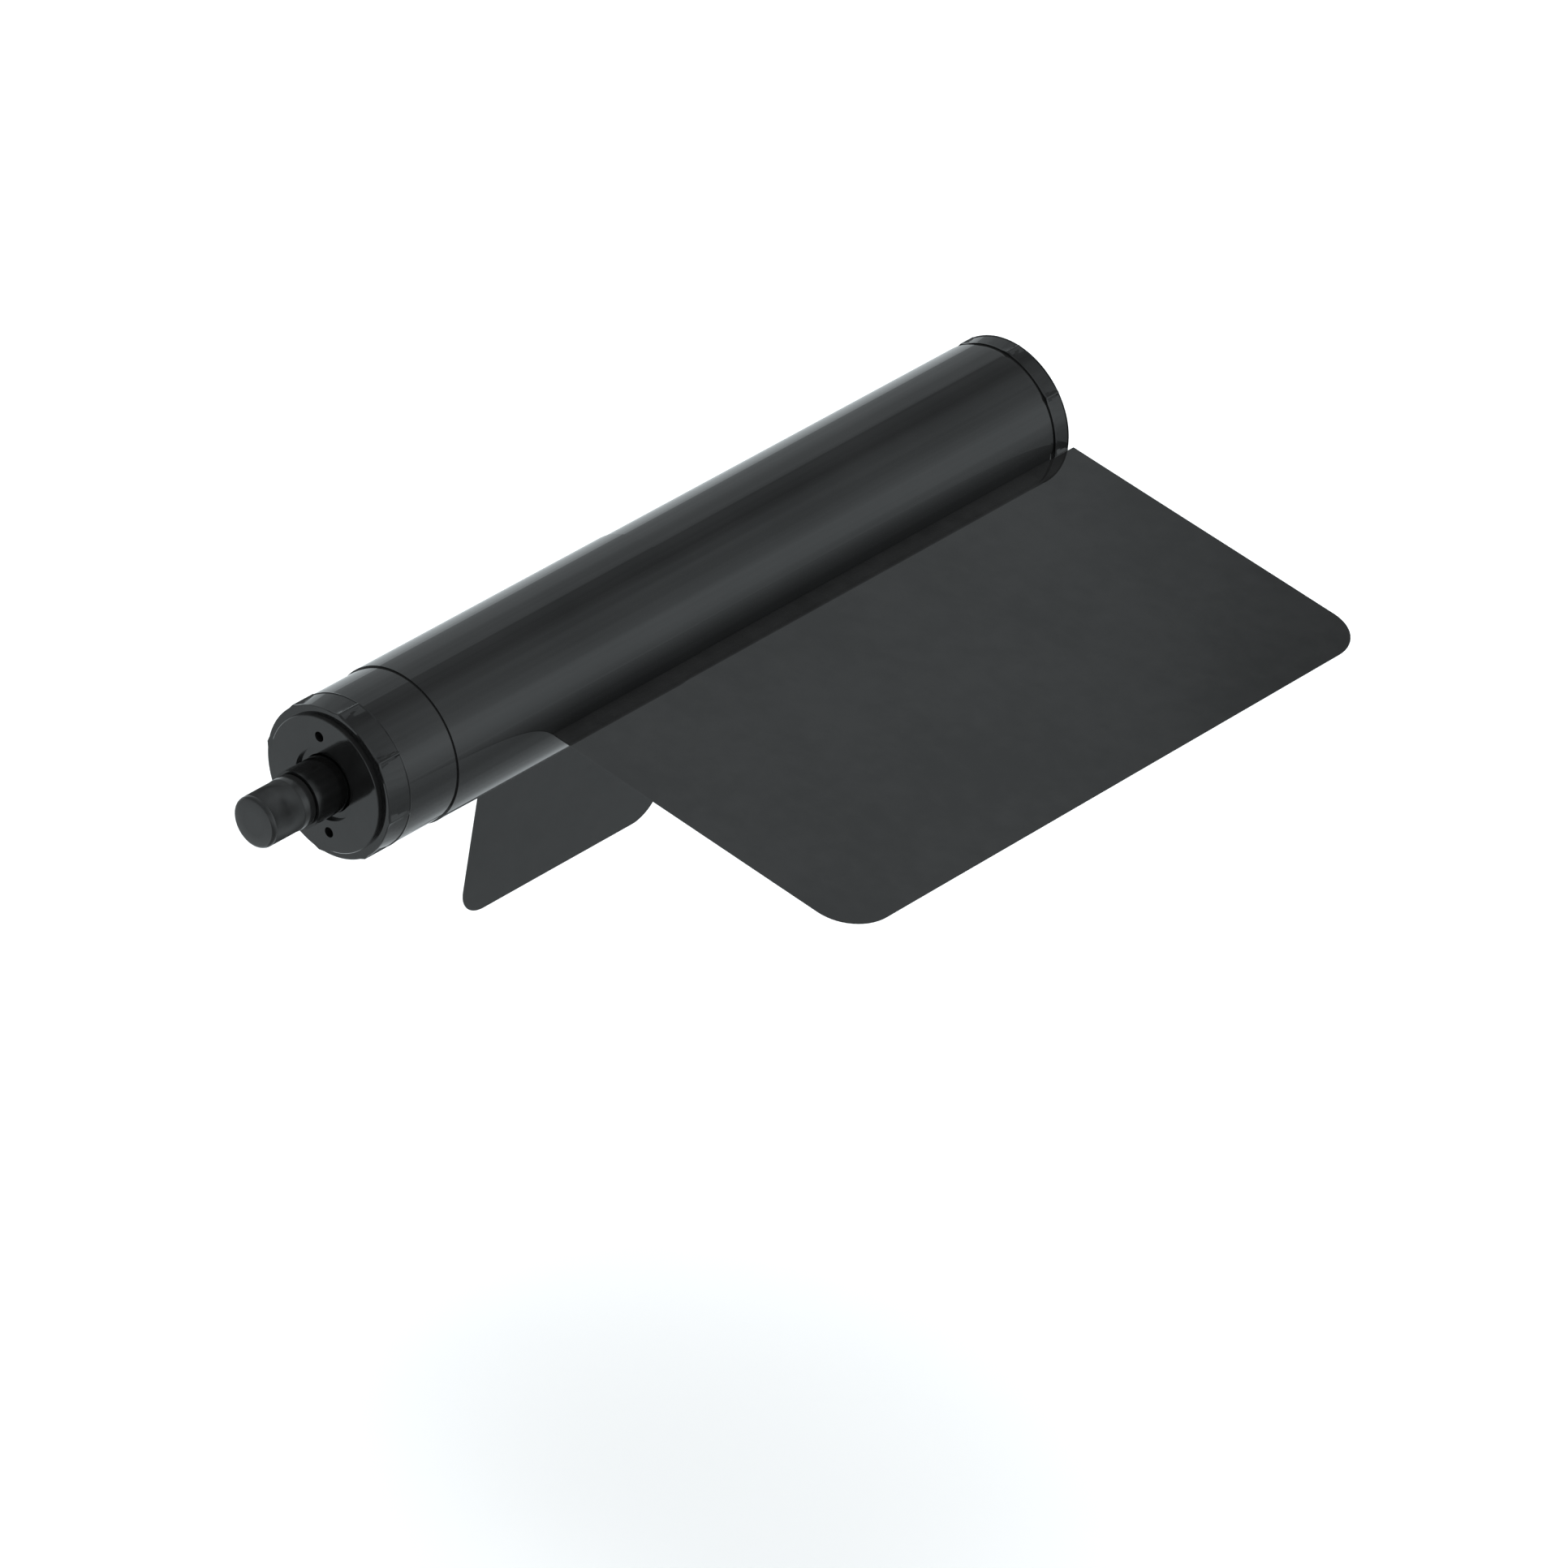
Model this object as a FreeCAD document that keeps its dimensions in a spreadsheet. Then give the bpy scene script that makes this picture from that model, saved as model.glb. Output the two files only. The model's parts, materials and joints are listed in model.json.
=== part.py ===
import FreeCAD, Part
import math
import os
import Sketcher
from types import SimpleNamespace

# A roll of glossy sign vinyl on a braked spindle. Millimetres.
#
# The roll's axis is +Y, +Z is up, and the origin is on the axis at the middle of the near journal,
# the bare neck of the spindle between the knurled knob and the near hub. The vinyl is wound on a
# 3 inch core, which two hubs grip from inside. The near hub turns on a ball bearing and the far hub
# on a plain bush, so the roll runs freely on the fixed spindle until the knob at the near end
# tightens the friction brake inside the near hub. The wide sheet leaves the roll along +X and the
# narrow sheet along -Z.

# Driving sizes: alias, value, what it is.
SIZES = [
    ("journal_radius", 21, "near journal"),
    ("journal_half", 13.5, "half of the near journal's length"),
    ("disc_proud", 4, "face disc in front of the rim ring"),
    ("disc_radius", 50.4, "face discs"),
    ("disc_thickness", 8, "near face disc behind its front"),
    ("recess_radius", 26.7, "shallow recess round the near journal"),
    ("recess_depth", 3, "recess round the near journal"),
    ("spanner_circle", 36, "radius of the circle of the spanner holes"),
    ("spanner_hole", 3.85, "radius of a spanner hole"),
    ("spanner_angle", 106.2, "spanner holes from +X towards +Z"),
    ("near_rim", 57.6, "near rim ring's radius"),
    ("near_rim_length", 21, "near rim ring"),
    ("far_rim", 57.85, "far rim ring's radius"),
    ("far_rim_length", 13.7, "far rim ring"),
    ("rim_lip", 1.6, "plain lip at the outer end of a rim ring"),
    ("pocket_count", 8, "grip pockets round a rim ring"),
    ("pocket_angle", 42, "width of a grip pocket in degrees"),
    ("pocket_depth", 0.9, "grip pocket"),
    ("band_radius", 56.95, "plain band of the near hub"),
    ("band_length", 45.8, "plain band of the near hub"),
    ("groove_radius", 55.5, "groove between the vinyl and the far rim ring"),
    ("groove_length", 5.7, "groove between the vinyl and the far rim ring"),
    ("web_width", 610, "width of the vinyl"),
    ("core_inner", 38.1, "core's bore radius"),
    ("core_outer", 43, "core's outer radius"),
    ("winding_radius", 56.9, "inner turns of vinyl"),
    ("outer_radius", 57.5, "outer turns of vinyl"),
    ("overwrap_radius", 58.05, "short turns laid over the near part of the roll"),
    ("overwrap_length", 243.2, "width of the short turns"),
    ("sheet_root", 58.4, "edge of a sheet beside the roll, from the axis"),
    ("sheet_thickness", 0.7, "film sheet"),
    ("wide_start", 161, "wide sheet's near edge from the near rim's face"),
    ("wide_width", 540.2, "wide sheet along the axis"),
    ("wide_reach", 335.5, "wide sheet's free edge from the axis"),
    ("wide_corner", 33, "wide sheet's free corners"),
    ("narrow_start", 163.4, "narrow sheet's near edge from the near rim's face"),
    ("narrow_width", 201, "narrow sheet along the axis"),
    ("narrow_reach", 199.9, "narrow sheet's free edge from the axis"),
    ("narrow_corner", 24.8, "narrow sheet's free corners"),
    ("shaft_radius", 12.5, "spindle shaft, the bore of a 6205 bearing"),
    ("tail_radius", 12, "tail journal"),
    ("tail_start", 2, "tail journal's shoulder beyond the far rim ring"),
    ("tail_length", 21, "tail journal"),
    ("knob_radius", 19.2, "knurled knob"),
    ("knob_length", 41.3, "knurled knob"),
    ("knob_gap", 0.3, "knob to journal"),
    ("knob_bevel", 2.6, "bevel of the knob's outer face"),
    ("shaft_in_knob", 18.5, "shaft end inside the knob"),
    ("stud_radius", 6, "knob's threaded stud"),
    ("stud_length", 42, "knob's threaded stud"),
    ("rod_radius", 4, "brake rod"),
    ("running_gap", 0.05, "radial clearance of a running fit"),
    ("brake_travel", 1.5, "brake rod for one turn of the knob"),
    ("pin_radius", 2.5, "brake cross pin"),
    ("pin_reach", 24, "half length of the brake cross pin"),
    ("pin_station", 82, "cross pin's axis from the origin"),
    ("bearing_start", 46, "near bearing from the origin"),
    ("bearing_width", 15, "6205 bearing"),
    ("race_inner", 16.5, "inner race's outer radius"),
    ("race_outer", 22, "outer race's inner radius"),
    ("race_waist", 2.6, "half width of a race's groove"),
    ("bearing_outer", 26, "bearing's outer radius"),
    ("ball_radius", 3.9, "bearing ball"),
    ("plug_radius", 37.9, "part of a hub inside the core"),
    ("plug_bore", 33.5, "hollow of that part"),
    ("plug_length", 50, "part of a hub inside the core"),
    ("band_seat", 36, "bottom of a grip band's seat"),
    ("grip_width", 4, "grip band"),
    ("bush_radius", 16, "far bush's outer radius"),
    ("bush_length", 45.7, "far bush"),
]

doc = FreeCAD.newDocument("vinyl_roll")
sheet = doc.addObject("Spreadsheet::Sheet", "sizes")
for row, (alias, number, meaning) in enumerate(SIZES, start=1):
    sheet.set(f"A{row}", meaning)
    sheet.set(f"B{row}", str(number))
    sheet.setAlias(f"B{row}", alias)
doc.recompute()


class Size:
    """A length that carries its number and the expression that ties it to the sheet."""

    def __init__(self, number, text):
        self.number = number
        self.text = text

    def combine(self, other, sign, number):
        return Size(number, f"({self.text} {sign} {as_size(other).text})")

    def __add__(self, other):
        return self.combine(other, "+", self.number + as_size(other).number)

    def __sub__(self, other):
        return self.combine(other, "-", self.number - as_size(other).number)

    def __mul__(self, other):
        return self.combine(other, "*", self.number * as_size(other).number)

    def __truediv__(self, other):
        return self.combine(other, "/", self.number / as_size(other).number)


def as_size(value):
    return value if isinstance(value, Size) else Size(value, str(value))


dim = SimpleNamespace(**{alias: Size(number, f"sizes.{alias}") for alias, number, _ in SIZES})

# Stations along the axis, from the origin.
near_face = dim.journal_half
rim_face = near_face + dim.disc_proud
rim_end = rim_face + dim.near_rim_length
web_start = rim_end + dim.band_length
web_end = web_start + dim.web_width
far_rim_start = web_end + dim.groove_length
far_face = far_rim_start + dim.far_rim_length
disc_back = near_face + dim.disc_thickness
bearing_end = dim.bearing_start + dim.bearing_width
far_disc_start = far_face - 8
shaft_start = as_size(0) - dim.journal_half - dim.shaft_in_knob
knob_start = as_size(0) - dim.journal_half - dim.knob_gap - dim.knob_length
brake_wall = dim.pin_station + 10

AXIS_ALONG_Y = FreeCAD.Rotation(FreeCAD.Vector(1, 0, 0), -90)
parts = []


def keep(feature, label):
    """Registers a finished sub-part under the name that its file takes."""
    feature.Label = label
    parts.append(feature)
    return feature


def origin_item(body, role):
    return next(item for item in body.Origin.OriginFeatures if item.Role == role)


def new_body(label, station=0, turn=0):
    """A body whose local zero lies at a station on the axis, turned about the axis by an angle."""
    body = doc.addObject("PartDesign::Body", label)
    rotation = FreeCAD.Rotation(FreeCAD.Vector(0, 1, 0), turn)
    body.Placement = FreeCAD.Placement(FreeCAD.Vector(0, as_size(station).number, 0), rotation)
    body.setExpression(".Placement.Base.y", as_size(station).text)
    return keep(body, label)


def new_sketch(body, name, plane="XY_Plane"):
    sketch = body.newObject("Sketcher::SketchObject", name)
    sketch.AttachmentSupport = [(origin_item(body, plane), "")]
    sketch.MapMode = "FlatFace"
    return sketch


def pin_point(sketch, line, x, y):
    """Holds a line's first point at x, y, each on its axis or tied to the sheet."""
    for kind, value, axis in (("DistanceX", as_size(x), -2), ("DistanceY", as_size(y), -1)):
        if value.number == 0:
            sketch.addConstraint(Sketcher.Constraint("PointOnObject", line, 1, axis))
            continue
        index = sketch.addConstraint(Sketcher.Constraint(kind, -1, 1, line, 1, value.number))
        sketch.setExpression(f"Constraints[{index}]", value.text)


def draw_outline(sketch, corners):
    """A closed outline of straight lines through corners, each corner tied to the sheet."""
    points = [FreeCAD.Vector(as_size(x).number, as_size(y).number, 0) for x, y in corners]
    lines = []
    for start, end in zip(points, points[1:] + points[:1]):
        lines.append(sketch.addGeometry(Part.LineSegment(start, end), False))
    for line, following in zip(lines, lines[1:] + lines[:1]):
        sketch.addConstraint(Sketcher.Constraint("Coincident", line, 2, following, 1))
    for line, (x, y) in zip(lines, corners):
        pin_point(sketch, line, x, y)


def rectangle(low_x, low_y, high_x, high_y):
    return [(low_x, low_y), (high_x, low_y), (high_x, high_y), (low_x, high_y)]


def turned(label, station, profile, turn=0):
    """A turned piece: a profile of radius and distance from the station, revolved about the axis."""
    body = new_body(label, station, turn)
    sketch = new_sketch(body, label + "_profile")
    draw_outline(sketch, profile)
    feature = body.newObject("PartDesign::Revolution", label + "_turning")
    feature.Profile = sketch
    feature.ReferenceAxis = (sketch, ["V_Axis"])
    feature.Angle = 360
    body.Tip = feature
    return body


def tube(label, station, inner, outer, length):
    return turned(label, station, rectangle(inner, 0, outer, length))


def cut_through(body, name, draw, plane):
    """Cuts a sketch right through a body, both ways from the plane of the sketch."""
    doc.recompute()
    before = body.Shape.Volume
    sketch = new_sketch(body, name + "_outline", plane)
    draw(sketch)
    pocket = body.newObject("PartDesign::Pocket", name)
    pocket.Profile = sketch
    pocket.Type = "ThroughAll"
    pocket.Midplane = True
    body.Tip = pocket
    doc.recompute()
    if body.Shape.Volume >= before:
        raise RuntimeError(f"{name} cuts nothing")


def circle(sketch, x, y, radius):
    """A circle at x, y, its centre and radius tied to the sheet."""
    x, y, radius = as_size(x), as_size(y), as_size(radius)
    centre = FreeCAD.Vector(x.number, y.number, 0)
    index = sketch.addGeometry(Part.Circle(centre, FreeCAD.Vector(0, 0, 1), radius.number), False)
    for kind, value, axis in (("DistanceX", x, -2), ("DistanceY", y, -1)):
        if value.number == 0:
            sketch.addConstraint(Sketcher.Constraint("PointOnObject", index, 3, axis))
            continue
        place = sketch.addConstraint(Sketcher.Constraint(kind, -1, 1, index, 3, value.number))
        sketch.setExpression(f"Constraints[{place}]", value.text)
    size = sketch.addConstraint(Sketcher.Constraint("Radius", index, radius.number))
    sketch.setExpression(f"Constraints[{size}]", radius.text)


def cylinder(name, radius, length, centre=(0, 0, 0), rotation=AXIS_ALONG_Y):
    """A Part cylinder from centre along the rotated Z axis."""
    feature = doc.addObject("Part::Cylinder", name)
    feature.setExpression("Radius", as_size(radius).text)
    feature.setExpression("Height", as_size(length).text)
    feature.Placement = FreeCAD.Placement(FreeCAD.Vector(0, 0, 0), rotation)
    for axis, value in zip("xyz", centre):
        feature.setExpression(f".Placement.Base.{axis}", as_size(value).text)
    return feature


def group(label, features):
    """Identical pieces kept together as separate solids."""
    compound = doc.addObject("Part::Compound", label)
    compound.Links = features
    return keep(compound, label)


def polar(radius, angle):
    """Expressions for the X and Z of a point at a radius and an angle from +X towards +Z."""
    radius = as_size(radius)
    return (
        Size(0, f"{radius.text} * cos({angle} deg)"),
        Size(0, f"{radius.text} * sin({angle} deg)"),
    )


# --- Spindle --------------------------------------------------------------------------------------

def make_spindle_shaft():
    """The shaft, bored at the near end for the knob's stud and the brake rod."""
    station = shaft_start
    tail = far_face + dim.tail_start - station
    tail_end = tail + dim.tail_length + 1
    bore = dim.rod_radius + dim.running_gap
    thread = dim.stud_radius + dim.running_gap
    clip = bearing_end + 1.6
    body = turned("spindle_shaft", station, [
        (thread, 0),
        (dim.shaft_radius - 1, 0),
        (dim.shaft_radius, 1),
        (dim.shaft_radius, bearing_end - station),
        (dim.shaft_radius - 0.8, bearing_end - station),
        (dim.shaft_radius - 0.8, clip - station),
        (dim.shaft_radius, clip - station),
        (dim.shaft_radius, tail),
        (dim.tail_radius, tail),
        (dim.tail_radius, tail_end - 1),
        (dim.tail_radius - 1, tail_end),
        (0, tail_end),
        (0, brake_wall - station),
        (bore, brake_wall - station),
        (bore, as_size(0) - station),
        (thread, as_size(0) - station),
    ])
    slot_low = dim.pin_station - dim.pin_radius - dim.brake_travel - 0.3
    slot_high = dim.pin_station + dim.pin_radius + 0.2
    half_slot = dim.pin_radius + dim.running_gap

    def slot(sketch):
        draw_outline(sketch, [
            (half_slot, slot_low - station),
            (half_slot, slot_high - station),
            (as_size(0) - half_slot, slot_high - station),
            (as_size(0) - half_slot, slot_low - station),
        ])

    cut_through(body, "cross_pin_slot", slot, "XY_Plane")


def make_journal_sleeve():
    """The bare neck that a stand's yoke carries, and its narrower tail up to the bearing."""
    station = as_size(0) - dim.journal_half
    neck_end = dim.journal_half * 2
    tail_end = dim.bearing_start + dim.journal_half
    body = turned("journal_sleeve", station, [
        (dim.shaft_radius, 0),
        (dim.journal_radius, 0),
        (dim.journal_radius, neck_end),
        (dim.journal_radius - 0.5, neck_end),
        (dim.journal_radius - 0.5, tail_end - 8),
        (dim.race_inner - 0.8, tail_end - 5),
        (dim.race_inner - 0.8, tail_end),
        (dim.shaft_radius, tail_end),
    ])

    def hole(sketch):
        circle(sketch, 0, neck_end + 12, 3)

    cut_through(body, "grub_screw_holes", hole, "XY_Plane")
    screws = []
    for name, side in (("upper", 1), ("lower", -1)):
        turn = FreeCAD.Rotation(FreeCAD.Vector(1, 0, 0), 0 if side > 0 else 180)
        centre = (0, station + neck_end + 12, dim.shaft_radius * side)
        screws.append(cylinder(f"{name}_grub_screw", 2.95, 6, centre, turn))
    group("journal_grub_screws", screws)


def make_bearing():
    """A 6205 ball bearing: two races and nine balls behind one shield."""
    start, width = dim.bearing_start, dim.bearing_width
    pitch = (dim.race_inner + dim.race_outer) / 2
    groove = dim.ball_radius + 0.05
    waist = dim.race_waist
    for label, edge, wall, sign in (
        ("bearing_inner_race", dim.race_inner, dim.shaft_radius, -1),
        ("bearing_outer_race", dim.race_outer, dim.bearing_outer, 1),
    ):
        floor = pitch + groove * sign
        turned(label, start, [
            (wall, 0),
            (edge, 0),
            (edge, width / 2 - waist),
            (floor, width / 2 - 0.9),
            (floor, width / 2 + 0.9),
            (edge, width / 2 + waist),
            (edge, width),
            (wall, width),
        ])
    balls = []
    for number in range(9):
        ball = doc.addObject("Part::Sphere", f"ball_{number + 1}")
        ball.setExpression("Radius", (dim.ball_radius - 0.25).text)
        x, z = polar(pitch, 40 * number)
        for axis, value in zip("xyz", (x, start + width / 2, z)):
            ball.setExpression(f".Placement.Base.{axis}", value.text)
        balls.append(ball)
    group("bearing_balls", balls)
    tube("bearing_shield", start + 0.6, dim.race_inner + 0.3, dim.race_outer, 1)
    tube("bearing_circlip", bearing_end, dim.shaft_radius - 0.8, dim.shaft_radius + 3, 1.6)


# --- Near hub -------------------------------------------------------------------------------------

def grip_seats(first, second):
    """Corners of two seats for grip bands on a plug, in the direction of growing distance."""
    corners = []
    for low in (first, second):
        high = low + dim.grip_width
        corners += [
            (dim.plug_radius, low), (dim.band_seat, low), (dim.band_seat, high), (dim.plug_radius, high),
        ]
    return corners


def make_rim_ring(label, station, radius, length, pocket_from, pocket_to):
    """A rim ring with grip pockets, whose ribs stand at every eighth of a turn from +X."""
    body = turned(label, station, [
        (dim.disc_radius + 0.05, 0), (radius - 0.6, 0), (radius, 0.6),
        (radius, length - 0.6), (radius - 0.6, length), (dim.disc_radius + 0.05, length),
    ], turn=22.5)
    doc.recompute()
    before = body.Shape.Volume
    sketch = new_sketch(body, label + "_pocket_outline")
    draw_outline(sketch, rectangle(radius - dim.pocket_depth, pocket_from, radius + 2, pocket_to))
    groove = body.newObject("PartDesign::Groove", label + "_pocket")
    groove.Profile = sketch
    groove.ReferenceAxis = (sketch, ["V_Axis"])
    groove.Midplane = True
    groove.setExpression("Angle", dim.pocket_angle.text)
    body.Tip = groove
    doc.recompute()
    pattern = body.newObject("PartDesign::PolarPattern", label + "_pockets")
    pattern.Originals = [groove]
    pattern.Axis = (origin_item(body, "Y_Axis"), [""])
    pattern.Angle = 360
    pattern.setExpression("Occurrences", dim.pocket_count.text)
    body.Tip = pattern
    doc.recompute()
    if body.Shape.Volume >= before:
        raise RuntimeError(f"{label} has no pockets")


def make_near_face_disc():
    """The screwed-in disc that keeps the bearing, with two holes for a pin spanner."""
    spigot = dim.bearing_start - near_face
    body = turned("near_face_disc", near_face, [
        (dim.recess_radius, 0),
        (dim.disc_radius - 0.5, 0),
        (dim.disc_radius, 0.5),
        (dim.disc_radius, dim.disc_thickness),
        (dim.bearing_outer, dim.disc_thickness),
        (dim.bearing_outer, spigot),
        (dim.bearing_outer - 2.5, spigot),
        (dim.bearing_outer - 2.5, dim.disc_thickness),
        (dim.journal_radius + 0.6, dim.disc_thickness),
        (dim.journal_radius + 0.6, dim.recess_depth),
        (dim.recess_radius, dim.recess_depth),
    ])
    reach = dim.spanner_circle

    def holes(sketch):
        for side in (0, 180):
            angle = math.radians(dim.spanner_angle.number + side)
            turn = f"(({dim.spanner_angle.text} + {side}) * 1 deg)"
            x = Size(reach.number * math.cos(angle), f"{reach.text} * cos{turn}")
            z = Size(reach.number * math.sin(angle), f"{reach.text} * sin{turn}")
            circle(sketch, x, z, dim.spanner_hole)

    cut_through(body, "spanner_holes", holes, "XZ_Plane")


def make_near_hub():
    """The near hub: a hollow band outside, a bearing seat inside and a plug that grips the core."""
    station = disc_back
    plug = web_start - station
    turned("near_hub", station, [
        (dim.bearing_outer, 0),
        (dim.disc_radius, 0),
        (dim.disc_radius, rim_end - station),
        (dim.band_radius, rim_end - station),
        (dim.band_radius, plug),
        (dim.band_radius - 3.5, plug),
        (dim.band_radius - 3.5, rim_end - station + 4),
        (dim.plug_radius + 3.5, rim_end - station + 4),
        (dim.plug_radius + 3.5, plug),
        (dim.plug_radius, plug),
        *grip_seats(plug + 12, plug + 32),
        (dim.plug_radius, plug + dim.plug_length - 1.5),
        (dim.plug_radius - 1.5, plug + dim.plug_length),
        (dim.plug_bore, plug + dim.plug_length),
        (dim.plug_bore, bearing_end + 5 - station),
        (dim.race_outer + 1, bearing_end + 5 - station),
        (dim.race_outer + 1, bearing_end - station),
        (dim.bearing_outer, bearing_end - station),
    ])
    make_rim_ring("near_rim_ring", rim_face, dim.near_rim, dim.near_rim_length, dim.rim_lip,
                  dim.near_rim_length + 1)
    make_near_face_disc()
    make_grip_bands("near_grip_bands", (web_start + 12, web_start + 32))


def make_grip_bands(label, stations):
    """Two rubber bands between a plug and the core."""
    bands = []
    for number, station in enumerate(stations, start=1):
        outside = dim.core_inner - 0.02
        outer = cylinder(f"{label}_outer_{number}", outside, dim.grip_width, (0, station, 0))
        inner = cylinder(f"{label}_inner_{number}", dim.band_seat, dim.grip_width, (0, station, 0))
        band = doc.addObject("Part::Cut", f"{label}_{number}")
        band.Base = outer
        band.Tool = inner
        bands.append(band)
    group(label, bands)


# --- Brake ----------------------------------------------------------------------------------------

def make_brake():
    """The knob's stud pushes the rod, whose cross pin presses the washer on the lined wall."""
    rod_start = knob_start + 7 + dim.stud_length + 0.1
    rod_length = dim.pin_station + 6 - rod_start
    rod = turned("brake_rod", rod_start, rectangle(0, 0, dim.rod_radius, rod_length))
    cut_through(rod, "cross_pin_hole", lambda sketch: circle(
        sketch, 0, dim.pin_station - rod_start, dim.pin_radius), "XY_Plane")
    half = dim.pin_reach
    pin = cylinder("cross_pin_body", dim.pin_radius, half * 2, (0, dim.pin_station, as_size(0) - half),
                   FreeCAD.Rotation())
    keep(pin, "brake_cross_pin")
    washer = dim.pin_station + dim.pin_radius
    tube("brake_washer", washer, dim.shaft_radius + 0.1, 31, 3.4)
    tube("brake_lining", washer + 3.5, dim.shaft_radius + 1.5, 32, 2)
    tube("brake_wall", washer + 5.5, dim.shaft_radius + 1, dim.plug_bore, 4)


def make_knob():
    """The knurled knob, its threaded stud and the plug in its outer face."""
    end = dim.knob_length
    clear = dim.shaft_radius + 0.3
    turned("knurled_knob", knob_start, [
        (dim.stud_radius, 3),
        (dim.stud_radius, 20),
        (clear, 20),
        (clear, end),
        (dim.knob_radius - 0.6, end),
        (dim.knob_radius, end - 0.6),
        (dim.knob_radius, dim.knob_bevel),
        (dim.knob_radius - dim.knob_bevel, 0),
        (9, 0),
        (9, 3),
    ])
    tube("knob_stud", knob_start + 7, 0, dim.stud_radius, dim.stud_length)
    tube("knob_end_plug", knob_start, 0, 9, 3)


# --- Core and vinyl -------------------------------------------------------------------------------

def make_windings():
    """The core and the vinyl on it: inner turns, outer turns and the short turns laid over them."""
    tube("core_tube", web_start, dim.core_inner, dim.core_outer, dim.web_width)
    tube("wound_vinyl", web_start, dim.core_outer, dim.winding_radius, dim.web_width)
    tube("outer_turns", web_start, dim.winding_radius, dim.outer_radius, dim.web_width)
    tube("overwrap_turns", web_start, dim.outer_radius, dim.overwrap_radius, dim.overwrap_length)


def film_sheet(label, start, width, reach, corner, turn):
    """A flat sheet with rounded free corners that stands out of the roll, turned about the axis."""
    body = new_body(label, rim_face + start, turn)
    sketch = new_sketch(body, label + "_outline")
    draw_outline(sketch, rectangle(dim.sheet_root, 0, reach, width))
    pad = body.newObject("PartDesign::Pad", label + "_film")
    pad.Profile = sketch
    pad.Midplane = True
    pad.setExpression("Length", dim.sheet_thickness.text)
    body.Tip = pad
    doc.recompute()
    corners = []
    for number, edge in enumerate(pad.Shape.Edges, start=1):
        box = edge.BoundBox
        if box.ZLength > box.XLength + box.YLength and box.XMin > reach.number - 0.01:
            corners.append(f"Edge{number}")
    fillet = body.newObject("PartDesign::Fillet", label + "_corners")
    fillet.Base = (pad, corners)
    fillet.setExpression("Radius", corner.text)
    body.Tip = fillet


# --- Far hub --------------------------------------------------------------------------------------

def make_far_hub():
    """The far hub, which draws out of the core with its bush, ring, disc and grip bands."""
    station = web_end - dim.plug_length
    plug = dim.plug_length
    disc = far_disc_start - station
    bush_start = far_disc_start - dim.bush_length
    turned("far_hub", station, [
        (dim.bush_radius, bush_start - station),
        (dim.bush_radius + 4, bush_start - station),
        (dim.bush_radius + 4, plug + 1),
        (dim.plug_bore, plug + 1),
        (dim.plug_bore, 0),
        (dim.plug_radius - 1.5, 0),
        (dim.plug_radius, 1.5),
        *grip_seats(as_size(14), as_size(34)),
        (dim.plug_radius, plug),
        (dim.groove_radius, plug),
        (dim.groove_radius, plug + dim.groove_length),
        (dim.disc_radius, plug + dim.groove_length),
        (dim.disc_radius, disc),
        (dim.bush_radius, disc),
    ])
    make_rim_ring("far_rim_ring", far_rim_start, dim.far_rim, dim.far_rim_length, -1,
                  dim.far_rim_length - dim.rim_lip)
    tube("far_bush", bush_start, dim.shaft_radius + dim.running_gap, dim.bush_radius, dim.bush_length)
    turned("far_face_disc", far_disc_start, [
        (dim.shaft_radius + 1.5, 0),
        (dim.disc_radius, 0),
        (dim.disc_radius, 9.5),
        (dim.disc_radius - 0.5, 10),
        (dim.shaft_radius + 1.5, 10),
    ])
    make_grip_bands("far_grip_bands", (station + 14, station + 34))


make_spindle_shaft()
make_journal_sleeve()
make_bearing()
make_near_hub()
make_brake()
make_knob()
make_windings()
film_sheet("wide_sheet", dim.wide_start, dim.wide_width, dim.wide_reach, dim.wide_corner, 0)
film_sheet("narrow_sheet", dim.narrow_start, dim.narrow_width, dim.narrow_reach, dim.narrow_corner, 90)
make_far_hub()
doc.recompute()

for item in doc.Objects:
    if "Invalid" in item.State or "Error" in item.State:
        raise RuntimeError(f"{item.Label} failed: {item.State}")
os.makedirs("parts", exist_ok=True)
for feature in parts:
    shape = feature.Shape
    if shape.isNull() or not shape.isValid():
        raise RuntimeError(f"{feature.Label} has no valid shape")
for feature in parts:
    feature.Shape.exportStep(f"parts/{feature.Label}.step")
    print(f"{feature.Label}: {len(feature.Shape.Solids)} solids, {feature.Shape.Volume:.0f} mm3")
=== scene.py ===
import json
import math

import bmesh
import bpy
from mathutils import Matrix, Vector, noise


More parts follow.
